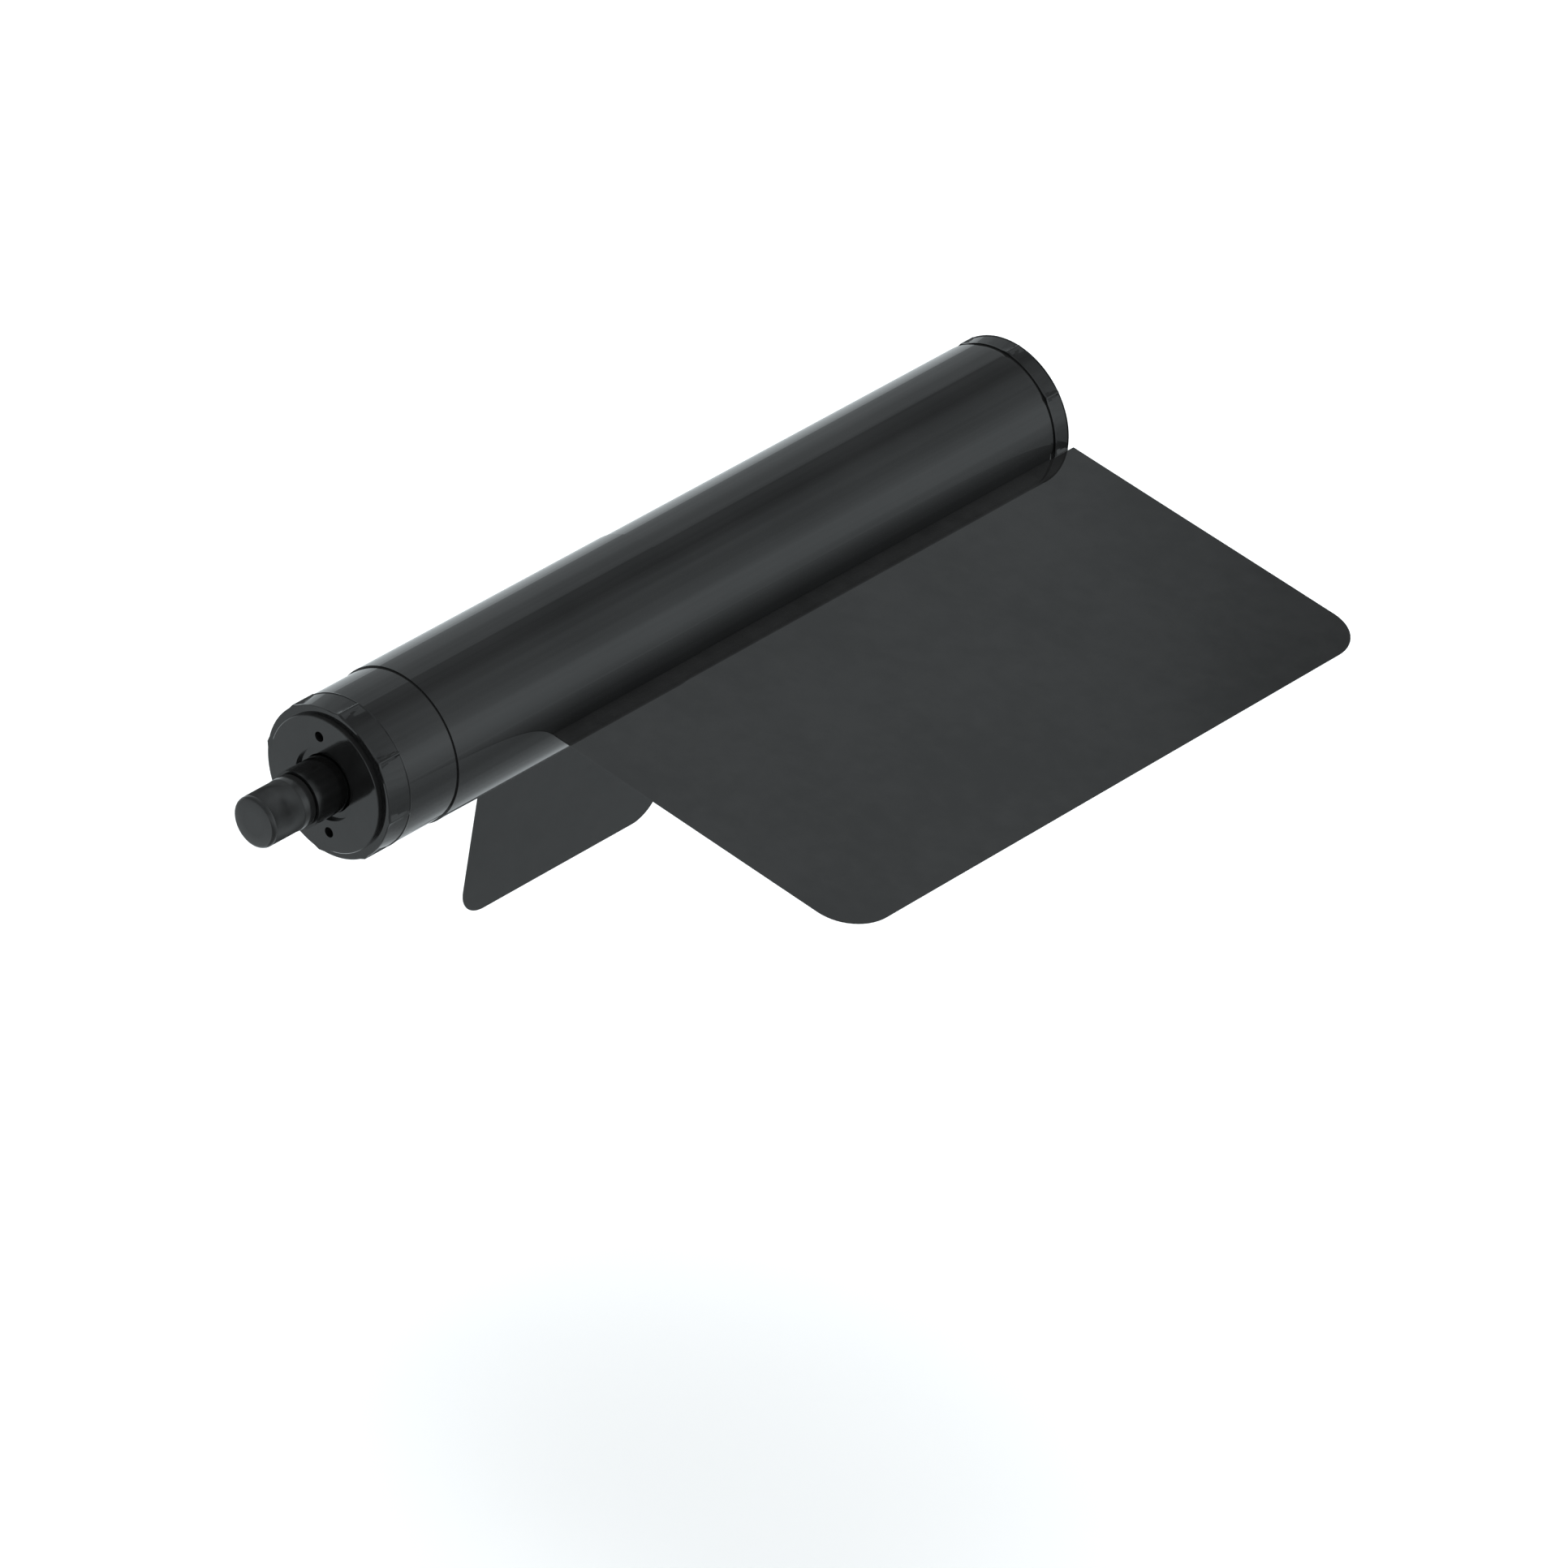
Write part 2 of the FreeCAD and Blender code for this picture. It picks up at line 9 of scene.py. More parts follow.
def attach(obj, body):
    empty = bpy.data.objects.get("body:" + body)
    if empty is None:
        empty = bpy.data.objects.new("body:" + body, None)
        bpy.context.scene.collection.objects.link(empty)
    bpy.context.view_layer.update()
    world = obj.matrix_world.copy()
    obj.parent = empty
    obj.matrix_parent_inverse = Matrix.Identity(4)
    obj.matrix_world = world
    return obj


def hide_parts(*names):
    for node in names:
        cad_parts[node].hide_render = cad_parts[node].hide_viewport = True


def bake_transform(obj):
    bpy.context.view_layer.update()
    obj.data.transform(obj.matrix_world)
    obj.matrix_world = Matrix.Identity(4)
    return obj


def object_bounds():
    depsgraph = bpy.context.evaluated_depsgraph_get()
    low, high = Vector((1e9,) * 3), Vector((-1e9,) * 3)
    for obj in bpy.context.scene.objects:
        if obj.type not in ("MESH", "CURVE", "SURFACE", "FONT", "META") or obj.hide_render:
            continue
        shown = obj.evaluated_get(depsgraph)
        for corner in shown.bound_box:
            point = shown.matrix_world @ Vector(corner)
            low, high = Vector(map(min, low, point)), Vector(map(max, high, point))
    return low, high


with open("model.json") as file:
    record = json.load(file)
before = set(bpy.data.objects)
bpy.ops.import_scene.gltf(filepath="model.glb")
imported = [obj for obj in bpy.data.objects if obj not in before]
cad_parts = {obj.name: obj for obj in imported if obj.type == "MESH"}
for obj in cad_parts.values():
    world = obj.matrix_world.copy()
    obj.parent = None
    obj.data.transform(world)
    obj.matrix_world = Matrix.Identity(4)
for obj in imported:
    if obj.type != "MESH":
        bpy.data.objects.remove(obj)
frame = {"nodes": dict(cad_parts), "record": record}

CAD_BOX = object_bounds()
MM = 0.001

# --- Camera ---------------------------------------------------------------------------------------
# A long lens from the knob end, above and to the right of the roll.
VIEW_AZIMUTH = math.radians(36.463)
VIEW_ELEVATION = math.radians(36.996)
VIEW_ROLL = math.radians(9.661)
VIEW_DISTANCE = 8.7076
VIEW_AIM = Vector((0.22512, 0.22157, 0.04025))
LENS = 297.33


def add_camera():
    """The camera stands at an azimuth from -Y towards +X and at an elevation, and rolls about its view."""
    back = Vector((
        math.cos(VIEW_ELEVATION) * math.sin(VIEW_AZIMUTH),
        -math.cos(VIEW_ELEVATION) * math.cos(VIEW_AZIMUTH),
        math.sin(VIEW_ELEVATION),
    ))
    level = Vector((math.cos(VIEW_AZIMUTH), math.sin(VIEW_AZIMUTH), 0))
    right = Matrix.Rotation(VIEW_ROLL, 3, back) @ level
    up = back.cross(right)
    data = bpy.data.cameras.new("camera")
    data.lens = LENS
    data.sensor_width = 36
    camera = bpy.data.objects.new("camera", data)
    bpy.context.scene.collection.objects.link(camera)
    turn = Matrix((right, up, back)).transposed().to_4x4()
    camera.matrix_world = Matrix.Translation(VIEW_AIM + back * VIEW_DISTANCE) @ turn
    bpy.context.scene.camera = camera


add_camera()
bpy.context.scene.view_settings.view_transform = "Standard"


# --- Node helpers ---------------------------------------------------------------------------------

def new_material(name):
    """An empty node material with its shader, and a helper that adds linked nodes to it."""
    material = bpy.data.materials.new(name)
    material.use_nodes = True
    return material, Nodes(material.node_tree)


class Nodes:
    """Adds nodes to a tree: settings by attribute name, inputs by socket name or number."""

    def __init__(self, tree):
        self.tree = tree

    def add(self, kind, inputs=None, **settings):
        node = self.tree.nodes.new(kind)
        for key, value in settings.items():
            setattr(node, key, value)
        for key, value in (inputs or {}).items():
            self.feed(node.inputs[key], value)
        return node

    def feed(self, socket, value):
        if isinstance(value, bpy.types.NodeSocket):
            self.tree.links.new(value, socket)
        else:
            socket.default_value = value

    def find(self, kind):
        return next(node for node in self.tree.nodes if node.bl_idname == kind)

    def math(self, operation, first, second=0.0, third=0.0):
        inputs = {0: first, 1: second, 2: third}
        return self.add("ShaderNodeMath", inputs, operation=operation).outputs[0]

    def angle(self, rise, run):
        """The angle of a direction in degrees."""
        return self.math("MULTIPLY", self.math("ARCTAN2", rise, run), math.degrees(1))

    def spread(self, value, low, high, to_low=0.0, to_high=1.0, smooth=True):
        kind = "SMOOTHSTEP" if smooth else "LINEAR"
        inputs = {"Value": value, "From Min": low, "From Max": high, "To Min": to_low, "To Max": to_high}
        return self.add("ShaderNodeMapRange", inputs, interpolation_type=kind).outputs[0]

    def noise(self, vector, scale, detail=2.0, roughness=0.5):
        inputs = {"Vector": vector, "Scale": scale, "Detail": detail, "Roughness": roughness}
        return self.add("ShaderNodeTexNoise", inputs).outputs["Fac"]

    def mix(self, share, first, second):
        inputs = {0: share, 6: first, 7: second}
        return self.add("ShaderNodeMix", inputs, data_type="RGBA").outputs[2]

    def place(self):
        return self.add("ShaderNodeTexCoord").outputs["Object"]

    def stretched(self, vector, scale):
        inputs = {"Vector": vector, "Scale": scale}
        return self.add("ShaderNodeMapping", inputs).outputs["Vector"]

    def bump(self, height, strength, distance):
        inputs = {"Height": height, "Strength": strength, "Distance": distance}
        return self.add("ShaderNodeBump", inputs).outputs["Normal"]


def grey(value):
    return (value, value, value, 1)


# --- Materials ------------------------------------------------------------------------------------

# Noise scales per metre along X, Y and Z. Y is the roll's axis, so a small Y scale draws long marks.
WIPED_ALONG = (160.0, 2.5, 160.0)
WIPED_EVENLY = (60.0, 60.0, 60.0)
SLOW_WAVES = (14.0, 3.0, 14.0)
TURNING_RINGS = (6.0, 1800.0, 6.0)
CLOUD_SHARE = 0.6       # of the tone; wipe marks make the rest
DUST_SHARE = 1.5        # of the speck, against 1 for wipe marks
FINE_SHARE = 0.004      # of the relief, against 1 for slow waves


def gloss_black(name, dark, light, roughness, ior, wave, speck, along_axis=True):
    """Black plastic or film: dark colour with faint clouds, wipe marks along the axis, and soft waves."""
    material, nodes = new_material(name)
    shader = nodes.find("ShaderNodeBsdfPrincipled")
    place = nodes.place()
    cloud = nodes.noise(place, 9.0, 4.0, 0.55)
    streak_scale = WIPED_ALONG if along_axis else WIPED_EVENLY
    streak = nodes.noise(nodes.stretched(place, streak_scale), 1.0, 3.0, 0.6)
    tone = nodes.math("MULTIPLY_ADD", cloud, CLOUD_SHARE, nodes.math("MULTIPLY", streak, 1 - CLOUD_SHARE))
    nodes.feed(shader.inputs["Base Color"], nodes.mix(nodes.spread(tone, 0.35, 0.65), dark, light))
    dust = nodes.noise(place, 420.0, 2.0, 0.7)
    haze = nodes.math("ADD", nodes.math("MULTIPLY", nodes.spread(streak, 0.45, 0.8), speck),
                      nodes.math("MULTIPLY", nodes.spread(dust, 0.62, 0.8), speck * DUST_SHARE))
    nodes.feed(shader.inputs["Roughness"], nodes.math("ADD", haze, roughness))
    wavy = nodes.noise(nodes.stretched(place, SLOW_WAVES), 1.0, 2.0, 0.4)
    fine = nodes.noise(place, 900.0, 1.0)
    relief = nodes.math("MULTIPLY_ADD", wavy, wave, nodes.math("MULTIPLY", fine, wave * FINE_SHARE))
    nodes.feed(shader.inputs["Normal"], nodes.bump(relief, 1.0, 0.001))
    shader.inputs["IOR"].default_value = ior
    return material


def metal(name, colour, roughness):
    """Turned or ground metal: rings round the axis in the roughness and the bump."""
    material, nodes = new_material(name)
    shader = nodes.find("ShaderNodeBsdfPrincipled")
    place = nodes.place()
    rings = nodes.noise(nodes.stretched(place, TURNING_RINGS), 1.0, 2.0, 0.6)
    cloud = nodes.noise(place, 30.0, 3.0)
    shaded = tuple(channel * 0.8 for channel in colour[:3]) + (1,)
    nodes.feed(shader.inputs["Base Color"], nodes.mix(cloud, colour, shaded))
    nodes.feed(shader.inputs["Roughness"], nodes.spread(rings, 0.3, 0.7, roughness * 0.8, roughness * 1.3))
    nodes.feed(shader.inputs["Normal"], nodes.bump(rings, 0.15, 0.0002))
    shader.inputs["Metallic"].default_value = 1.0
    return material


def matt(name, dark, light, roughness, scale, relief):
    """A matt moulding, rubber, lining or board: two tones in clouds with a fine grain."""
    material, nodes = new_material(name)
    shader = nodes.find("ShaderNodeBsdfPrincipled")
    place = nodes.place()
    grain = nodes.noise(place, scale, 4.0, 0.65)
    nodes.feed(shader.inputs["Base Color"], nodes.mix(nodes.spread(grain, 0.3, 0.7), dark, light))
    uneven = nodes.spread(grain, 0.2, 0.8, roughness - 0.08, roughness + 0.08)
    nodes.feed(shader.inputs["Roughness"], uneven)
    nodes.feed(shader.inputs["Normal"], nodes.bump(grain, relief, 0.0003))
    return material


MATERIALS = {
    "vinyl": gloss_black("vinyl_gloss", grey(0.0045), grey(0.008), 0.025, 1.5, 0.05, 0.03),
    "film": gloss_black("film_gloss", grey(0.007), grey(0.011), 0.02, 1.5, 0.04, 0.015, False),
    "hub_plastic": gloss_black("hub_gloss", grey(0.005), grey(0.009), 0.03, 1.5, 0.03, 0.03),
    "rim_plastic": gloss_black("rim_gloss", grey(0.004), grey(0.008), 0.04, 1.5, 0.0, 0.02),
    "face_plastic": gloss_black("face_gloss", grey(0.006), grey(0.010), 0.08, 1.5, 0.05, 0.04, False),
    "inner_plastic": matt("inner_moulding", grey(0.02), grey(0.035), 0.55, 300.0, 0.2),
    "knob_black": gloss_black("knob_black", grey(0.006), grey(0.009), 0.15, 1.5, 0.0, 0.05),
    "black_metal": gloss_black("journal_black", grey(0.003), grey(0.005), 0.12, 1.45, 0.03, 0.04),
    "steel": metal("turned_steel", (0.56, 0.56, 0.57, 1), 0.3),
    "bearing_steel": metal("ground_steel", (0.66, 0.66, 0.67, 1), 0.12),
    "rubber": matt("grip_rubber", grey(0.012), grey(0.02), 0.8, 500.0, 0.3),
    "lining": matt("brake_lining", (0.10, 0.065, 0.04, 1), (0.22, 0.16, 0.10, 1), 0.85, 700.0, 0.6),
    "bush": matt("acetal", (0.62, 0.61, 0.56, 1), (0.70, 0.69, 0.64, 1), 0.4, 200.0, 0.05),
    "cardboard": matt("core_board", (0.30, 0.20, 0.11, 1), (0.42, 0.29, 0.17, 1), 0.85, 260.0, 0.4),
}


def dress(obj, slot_name):
    """Gives a piece the material of a record slot."""
    material = MATERIALS[slot_name]
    obj.data.materials.clear()
    obj.data.materials.append(material)


for entry in frame["record"]["subparts"]:
    dress(frame["nodes"][entry["node"]], entry["material_slot"])


# --- Mesh helpers ---------------------------------------------------------------------------------

def mesh_object(name, points, faces, slot_name, smooth_angle=30):
    """A piece from points and faces: normals outwards, smooth except over sharp edges."""
    mesh = bpy.data.meshes.new(name)
    mesh.from_pydata(points, [], faces)
    work = bmesh.new()
    work.from_mesh(mesh)
    bmesh.ops.recalc_face_normals(work, faces=work.faces)
    for face in work.faces:
        face.smooth = True
    for edge in work.edges:
        if len(edge.link_faces) == 2 and edge.calc_face_angle() > math.radians(smooth_angle):
            edge.smooth = False
    work.to_mesh(mesh)
    work.free()
    obj = bpy.data.objects.new(name, mesh)
    bpy.context.scene.collection.objects.link(obj)
    dress(obj, slot_name)
    return obj


def lathe(name, angles, profile, slot_name, smooth_angle=30):
    """A closed ring round +Y: profile(angle) gives its (radius, station) points, in metres."""
    points = []
    for angle in angles:
        points += [(r * math.cos(angle), y, r * math.sin(angle)) for r, y in profile(angle)]
    around, along = len(angles), len(profile(angles[0]))
    faces = []
    for i in range(around):
        for j in range(along):
            a, b = i * along, (i + 1) % around * along
            k = (j + 1) % along
            faces.append((a + j, a + k, b + k, b + j))
    return mesh_object(name, points, faces, slot_name, smooth_angle)


# --- Knob -----------------------------------------------------------------------------------------

KNOB_FRONT = -55.1
KNOB_BACK = -13.8
KNOB_RADIUS = 19.2
KNOB_EDGE = 2.6             # radius of the rounded front edge
KNOB_SOCKET = 9.05          # radius of the hole for the stud
KNOB_SHELL_BORE = 12.8      # radius of the hollow behind the socket
KNOB_SOLID_LENGTH = 20      # from the face to that hollow
GRIP_DROP = 0.25            # how far the knurled part lies under the collar
KNURL_START = 3.2           # from the face
KNURL_END = 10.8            # from the back
KNURL_LINES = 84
KNURL_DEPTH = 0.6
KNURL_SHAPE = (0, 0.55, 1, 0.55)    # depth at the four points of each line


def add_knob():
    """The knob: a flat face, a rounded edge, straight knurling, and a plain collar at the back."""
    start, end = KNOB_FRONT + KNURL_START, KNOB_BACK - KNURL_END
    steps = KNURL_LINES * len(KNURL_SHAPE)
    angles = [2 * math.pi * i / steps for i in range(steps)]
    cuts = {angle: KNURL_SHAPE[i % len(KNURL_SHAPE)] * KNURL_DEPTH for i, angle in enumerate(angles)}
    face_radius = KNOB_RADIUS - KNOB_EDGE - 0.3
    grip = KNOB_RADIUS - GRIP_DROP

    def profile(angle):
        floor = grip - cuts[angle]
        outer = [(KNOB_SOCKET, KNOB_FRONT), (face_radius, KNOB_FRONT)]
        for turn in (25, 50, 72):
            bend = math.radians(turn)
            outer.append((face_radius + KNOB_EDGE * math.sin(bend),
                          KNOB_FRONT + KNOB_EDGE * (1 - math.cos(bend))))
        outer += [
            (grip, start - 0.3),
            (floor, start + 0.5),
            (floor, (start + end) / 2),
            (floor, end - 0.4),
            (grip, end),
            (KNOB_RADIUS - 0.05, end + 0.25),
            (KNOB_RADIUS, end + 0.6),
            (KNOB_RADIUS, KNOB_BACK - 1.1),
            (KNOB_RADIUS - 0.3, KNOB_BACK - 0.35),
            (KNOB_RADIUS - 0.9, KNOB_BACK),
            (KNOB_SHELL_BORE, KNOB_BACK),
            (KNOB_SHELL_BORE, KNOB_FRONT + KNOB_SOLID_LENGTH),
            (KNOB_SOCKET, KNOB_FRONT + KNOB_SOLID_LENGTH),
        ]
        return [(r * MM, y * MM) for r, y in outer]

    knob = lathe("knob_grip", angles, profile, "knob_black", 50)
    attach(knob, "knob_unit")
    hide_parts("knurled_knob")


# --- Rim rings ------------------------------------------------------------------------------------

RIBS = 8
SECTOR = 360 / RIBS
RIB_HALF_ANGLE = 0.9
FLANK_ANGLES = (0.7, 1.5, 2.5, 3.7)
FLANK_SHARE = 0.84      # of a pocket's depth; the hollow of its floor makes the rest
FLANK_TAPER = 1.15      # how fast the flanks narrow: they end a little before the back edge
RIB_CROWN = 0.28
RING_BORE = 50.45
POCKET_COLUMNS = 16


def ring_angles():
    """Angles round a ring: close together on each rib and its flanks, even across each pocket."""
    half = RIB_HALF_ANGLE
    marks = [-half, -half / 2, 0, half / 2, half]
    marks += [half + flank for flank in FLANK_ANGLES[:-1]]
    start = half + FLANK_ANGLES[-1]
    step = (SECTOR - 2 * start) / POCKET_COLUMNS
    marks += [start + step * i for i in range(POCKET_COLUMNS + 1)]
    marks += [SECTOR - half - flank for flank in FLANK_ANGLES[-2::-1]]
    return [math.radians(SECTOR * k + mark) for k in range(RIBS) for mark in marks]


def rib_distance(angle):
    """Degrees from an angle to the middle of the nearest rib."""
    off = math.degrees(angle) % SECTOR
    return min(off, SECTOR - off)


def scoop(angle, share):
    """How deep a pocket is, from 0 on a rib to 1 in its middle; share runs from the lip to the back."""
    off = rib_distance(angle) - RIB_HALF_ANGLE
    if off <= 0:
        return 0.0
    narrow, wide = FLANK_ANGLES[0], FLANK_ANGLES[-1]
    width = wide + (narrow - wide) * min(1.0, share * FLANK_TAPER)
    flank = min(1.0, off / width)
    rest = max(0.0, off - width) / (SECTOR / 2 - RIB_HALF_ANGLE - width)
    return FLANK_SHARE * flank + (1 - FLANK_SHARE) * math.sin(rest * math.pi / 2)


def crown(angle):
    """How far the rounded top of a rib falls away from its middle, in millimetres."""
    return RIB_CROWN * min(1.0, rib_distance(angle) / RIB_HALF_ANGLE) ** 2


def add_ring(name, node, body, front, back, radius, lip, deep, shallow):
    """A rim ring whose scooped pockets are deep beside the lip and run out towards the other edge."""
    length = back - front

    def profile(angle):
        fall = crown(angle)
        rows = [(0.0, 1.1), (0.012, 0.9), (lip / length, 0.9), (lip / length + 0.03, deep)]
        rows += [(t, deep + (shallow - deep) * (t - 0.12) / 0.88) for t in (0.25, 0.45, 0.65, 0.85, 0.94)]
        rows += [(0.962, 0.0), (0.99, 0.0), (1.0, 0.0)]
        edge = {0.0: 0.5, 1.0: 0.5, 0.012: 0.1, 0.99: 0.1}
        line = [(radius - fall - cut * scoop(angle, t) - edge.get(t, 0.0), t) for t, cut in rows]
        line = [(RING_BORE, 0.0)] + line + [(RING_BORE, 1.0)]
        return [(r * MM, (front + length * t) * MM) for r, t in line]

    ring = lathe(name, ring_angles(), profile, "rim_plastic", 16)
    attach(ring, body)
    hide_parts(node)


# --- Film sheets ----------------------------------------------------------------------------------

SHEET_ROOT = 58.4
SHEET_THICKNESS = 0.7
FILM_WAVE = 0.15        # height of the wave in the film
WAVE_SCALE = 0.006      # waves per millimetre
CORNER_STEPS = 14
GRID_STEP = 9           # about the size of the faces of a sheet
EDGE_INSET = 0.12       # how far each face stops short of the middle of the free edge


def add_film(name, node, body, start, width, reach, corner, turn, seed):
    """A thin flat sheet with rounded free corners and a very slight wave, turned about the roll."""
    stations = [corner * (1 - math.cos(math.pi / 2 * i / CORNER_STEPS)) for i in range(CORNER_STEPS)]
    middle = width - 2 * corner
    count = max(8, int(middle / GRID_STEP))
    line = stations + [corner + middle * i / count for i in range(count + 1)]
    line += [width - s for s in stations[::-1]]
    columns = max(12, int((reach - SHEET_ROOT) / GRID_STEP))
    twist = Matrix.Rotation(-math.radians(turn), 3, "Y")

    def far_edge(along):
        short = max(0.0, corner - min(along, width - along))
        return reach - corner + math.sqrt(max(0.0, corner * corner - short * short))

    def surface(side):
        grid = []
        for along in line:
            row = []
            for i in range(columns + 1):
                share = i / columns
                x = SHEET_ROOT + (far_edge(along) - SHEET_ROOT) * share
                spot = Vector((x * WAVE_SCALE, along * WAVE_SCALE, seed))
                wave = noise.noise(spot) * FILM_WAVE * min(1.0, share * 3)
                inset = EDGE_INSET if side else 0.0
                row.append((x - inset * (i == columns), start + along, wave + side * SHEET_THICKNESS / 2))
            grid.append(row)
        return grid

    layers = [surface(1), surface(0), surface(-1)]
    points, faces = [], []
    for layer in layers:
        for row in layer:
            points += [twist @ Vector((x * MM, y * MM, z * MM)) for x, y, z in row]
    wide, high = columns + 1, len(line)
    size = wide * high

    def index(layer, j, i):
        return layer * size + j * wide + i

    for layer in (0, 2):
        for j in range(high - 1):
            for i in range(columns):
                faces.append((index(layer, j, i), index(layer, j, i + 1),
                              index(layer, j + 1, i + 1), index(layer, j + 1, i)))
    rim = [(0, i) for i in range(wide)] + [(j, columns) for j in range(1, high)]
    rim += [(high - 1, i) for i in range(columns - 1, -1, -1)] + [(j, 0) for j in range(high - 2, 0, -1)]
    for k, spot in enumerate(rim):
        after = rim[(k + 1) % len(rim)]
        for layer in (0, 1):
            faces.append((index(layer, *spot), index(layer, *after),
                          index(layer + 1, *after), index(layer + 1, *spot)))
    used = sorted({i for face in faces for i in face})
    place = {old: new for new, old in enumerate(used)}
    points = [points[i] for i in used]
    faces = [tuple(place[i] for i in face) for face in faces]
    film = mesh_object(name, points, faces, "film", 35)
    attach(film, body)
    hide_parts(node)


STRIP_INNER = 57.2
STRIP_OUTER = 58.7
STRIP_STEPS = 40


def add_root_strip(name, start, width, turn):
    """The strip of film between the roll and a sheet."""
    stations = [start + width * i / STRIP_STEPS for i in range(STRIP_STEPS + 1)]
    upper = [(STRIP_INNER, 0.3), (57.9, 0.33), (SHEET_ROOT, 0.345), (STRIP_OUTER, 0.345)]
    lower = [(x, -z) for x, z in upper]
    outline = [lower[0], *upper, *lower[:0:-1]]
    twist = Matrix.Rotation(-math.radians(turn), 3, "Y")
    points = [twist @ Vector((x * MM, y * MM, z * MM)) for y in stations for x, z in outline]
    count = len(outline)
    faces = [tuple(range(count)), tuple((len(stations) - 1) * count + i for i in range(count))]
    for j in range(len(stations) - 1):
        for i in range(count):
            a, b = j * count, (j + 1) * count
            k = (i + 1) % count
            faces.append((a + i, a + k, b + k, b + i))
    strip = mesh_object(name, points, faces, "film", 35)
    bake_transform(strip)


add_knob()
add_ring("near_rim_scoops", "near_rim_ring", "roll", front=17.5, back=38.5, radius=57.6,
         lip=1.6, deep=3.2, shallow=0.5)
add_ring("far_rim_scoops", "far_rim_ring", "far_hub_unit", front=700.0, back=713.7, radius=57.85,
         lip=1.6, deep=2.6, shallow=0.6)
add_film("wide_film_sheet", "wide_sheet", "wide_film", start=178.5, width=540.2, reach=335.5,
         corner=33.0, turn=0, seed=3.0)
add_film("narrow_film_sheet", "narrow_sheet", "narrow_film", start=180.9, width=201.0, reach=199.9,
         corner=24.8, turn=-90, seed=8.0)
add_root_strip("wide_film_root", 178.7, 515.3, turn=0)
add_root_strip("narrow_film_root", 181.1, 200.6, turn=-90)


# --- Stage ----------------------------------------------------------------------------------------

FLOOR_DROP = 0.55
FLOOR_HALF_SIZE = 30
# Light level of the room by angle in degrees round the roll's axis, from +X towards +Z.
ROOM_BANDS = (
    (-180, 0.45), (-164, 0.47), (-148, 0.43), (-128, 0.55), (-108, 0.77), (-76, 0.59), (-60, 0.53),
    (-44, 0.45), (-28, 0.38), (-12, 0.57), (0, 0.80), (4, 0.93), (12, 1.08), (28, 1.08), (36, 0.98),
    (44, 0.85), (52, 0.69), (62, 0.63), (72, 0.60), (84, 0.47), (92, 0.36), (98, 0.25), (102, 0.24),
    (107, 0.29), (116, 0.33), (122, 0.31), (127, 0.27), (150, 0.265), (180, 0.255),
)
ROOM_TINT = (0.925, 1.0, 1.03)
BEHIND_SWING = (33.2, 35.4)     # degrees from +Y towards -X over which the light rises
BEHIND_LIFT = 1.1               # how much it rises, as a share of the level
WING_BLEND = 0.06               # half of the blend across the plane of the axis
FRONT_REACH = (-0.25, 0.15)     # directions along Y over which the front is left behind
FRONT_LEVEL = 0.75


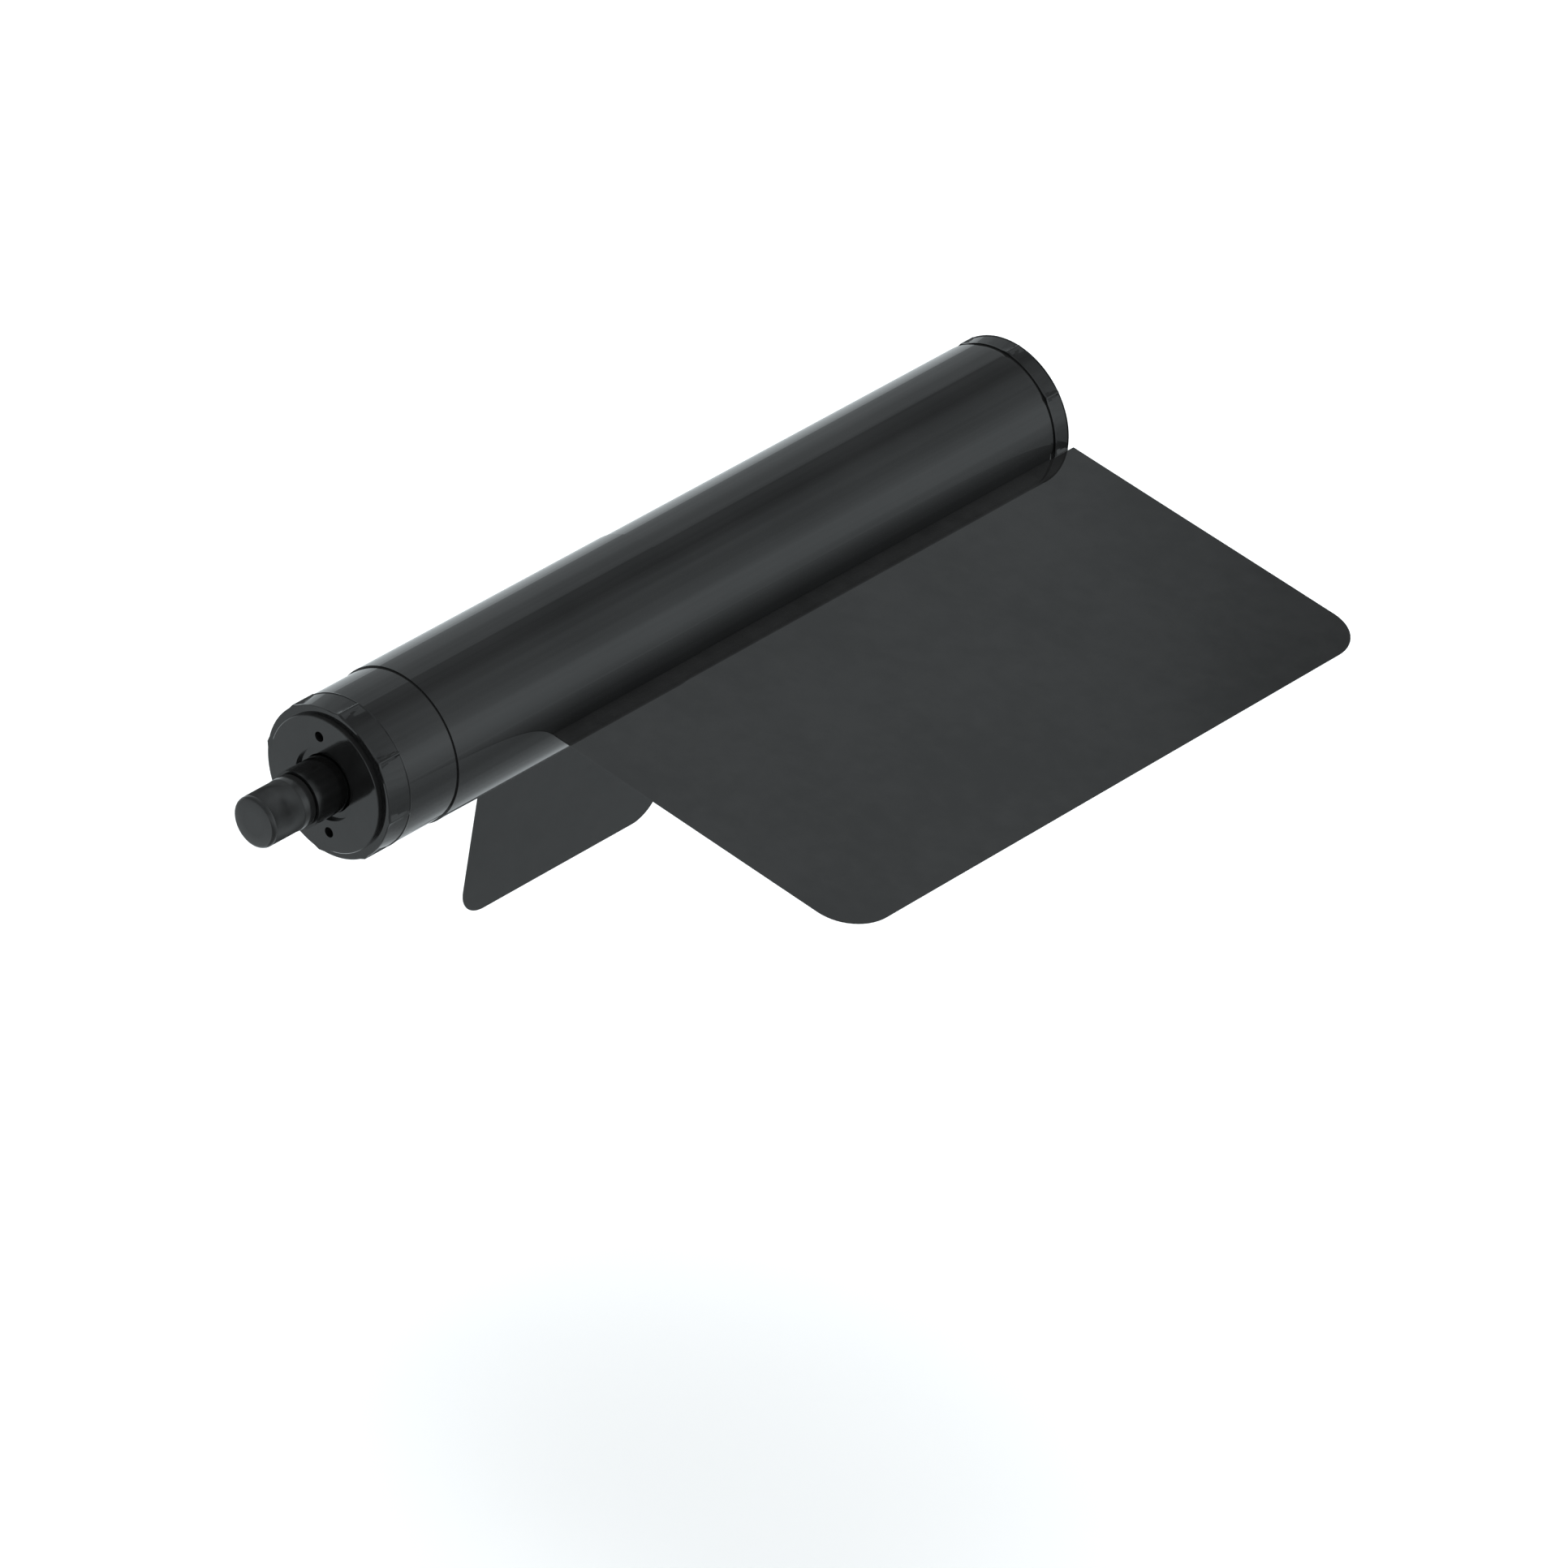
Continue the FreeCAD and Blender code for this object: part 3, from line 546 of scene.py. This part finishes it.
def add_floor():
    """A plain pale floor well below the part, left out of reflections."""
    mesh = bpy.data.meshes.new("floor")
    size = FLOOR_HALF_SIZE
    height = CAD_BOX[0][2] - FLOOR_DROP
    corners = [(-size, -size, height), (size, -size, height), (size, size, height), (-size, size, height)]
    mesh.from_pydata(corners, [], [(0, 1, 2, 3)])
    floor = bpy.data.objects.new("floor", mesh)
    bpy.context.scene.collection.objects.link(floor)
    material, nodes = new_material("pale_floor")
    shader = nodes.find("ShaderNodeBsdfPrincipled")
    cloud = nodes.noise(nodes.place(), 3.0)
    nodes.feed(shader.inputs["Base Color"], nodes.mix(cloud, grey(0.90), grey(0.92)))
    shader.inputs["Roughness"].default_value = 0.9
    shader.inputs["Specular IOR Level"].default_value = 0.0
    mesh.materials.append(material)
    floor.visible_glossy = False


def add_world():
    """A soft room: broad bands of light run along the roll, brighter behind it than at the front."""
    world = bpy.data.worlds.new("studio")
    world.use_nodes = True
    bpy.context.scene.world = world
    nodes = Nodes(world.node_tree)
    background = nodes.find("ShaderNodeBackground")
    direction = nodes.add("ShaderNodeTexCoord").outputs["Generated"]
    split = nodes.add("ShaderNodeSeparateXYZ", {0: direction}).outputs
    band = nodes.angle(split[2], split[0])
    swing = nodes.angle(nodes.math("MULTIPLY", split[0], -1.0), split[1])

    ramp = nodes.add("ShaderNodeValToRGB", {0: nodes.spread(band, -180.0, 180.0, smooth=False)})
    stops = ramp.color_ramp.elements
    stops[0].position, stops[0].color = 0.0, grey(ROOM_BANDS[0][1])
    stops[1].position, stops[1].color = 1.0, grey(ROOM_BANDS[-1][1])
    for angle, level in ROOM_BANDS[1:-1]:
        stops.new((angle + 180) / 360).color = grey(level)

    wing = nodes.spread(split[0], -WING_BLEND, WING_BLEND, 1.0, 0.0)
    behind = nodes.math("MULTIPLY", wing, nodes.spread(swing, *BEHIND_SWING, 0.0, BEHIND_LIFT))
    cloud = nodes.spread(nodes.noise(direction, 9.0, 3.0), 0.3, 0.7, 0.93, 1.07)
    front = nodes.spread(split[1], *FRONT_REACH, FRONT_LEVEL, 1.0)
    tinted = nodes.add("ShaderNodeVectorMath", {0: ramp.outputs[0], 1: ROOM_TINT}, operation="MULTIPLY")
    nodes.feed(background.inputs["Color"], tinted.outputs[0])
    even = nodes.math("MULTIPLY", cloud, front)
    nodes.feed(background.inputs["Strength"], nodes.math("MULTIPLY", nodes.math("ADD", behind, 1.0), even))


def add_sun():
    """Soft overhead light for the floor, kept out of the reflections."""
    data = bpy.data.lights.new("overhead", "SUN")
    data.energy = 3.0
    data.angle = math.radians(60)
    sun = bpy.data.objects.new("overhead", data)
    sun.visible_glossy = False
    bpy.context.scene.collection.objects.link(sun)


add_floor()
add_world()
add_sun()
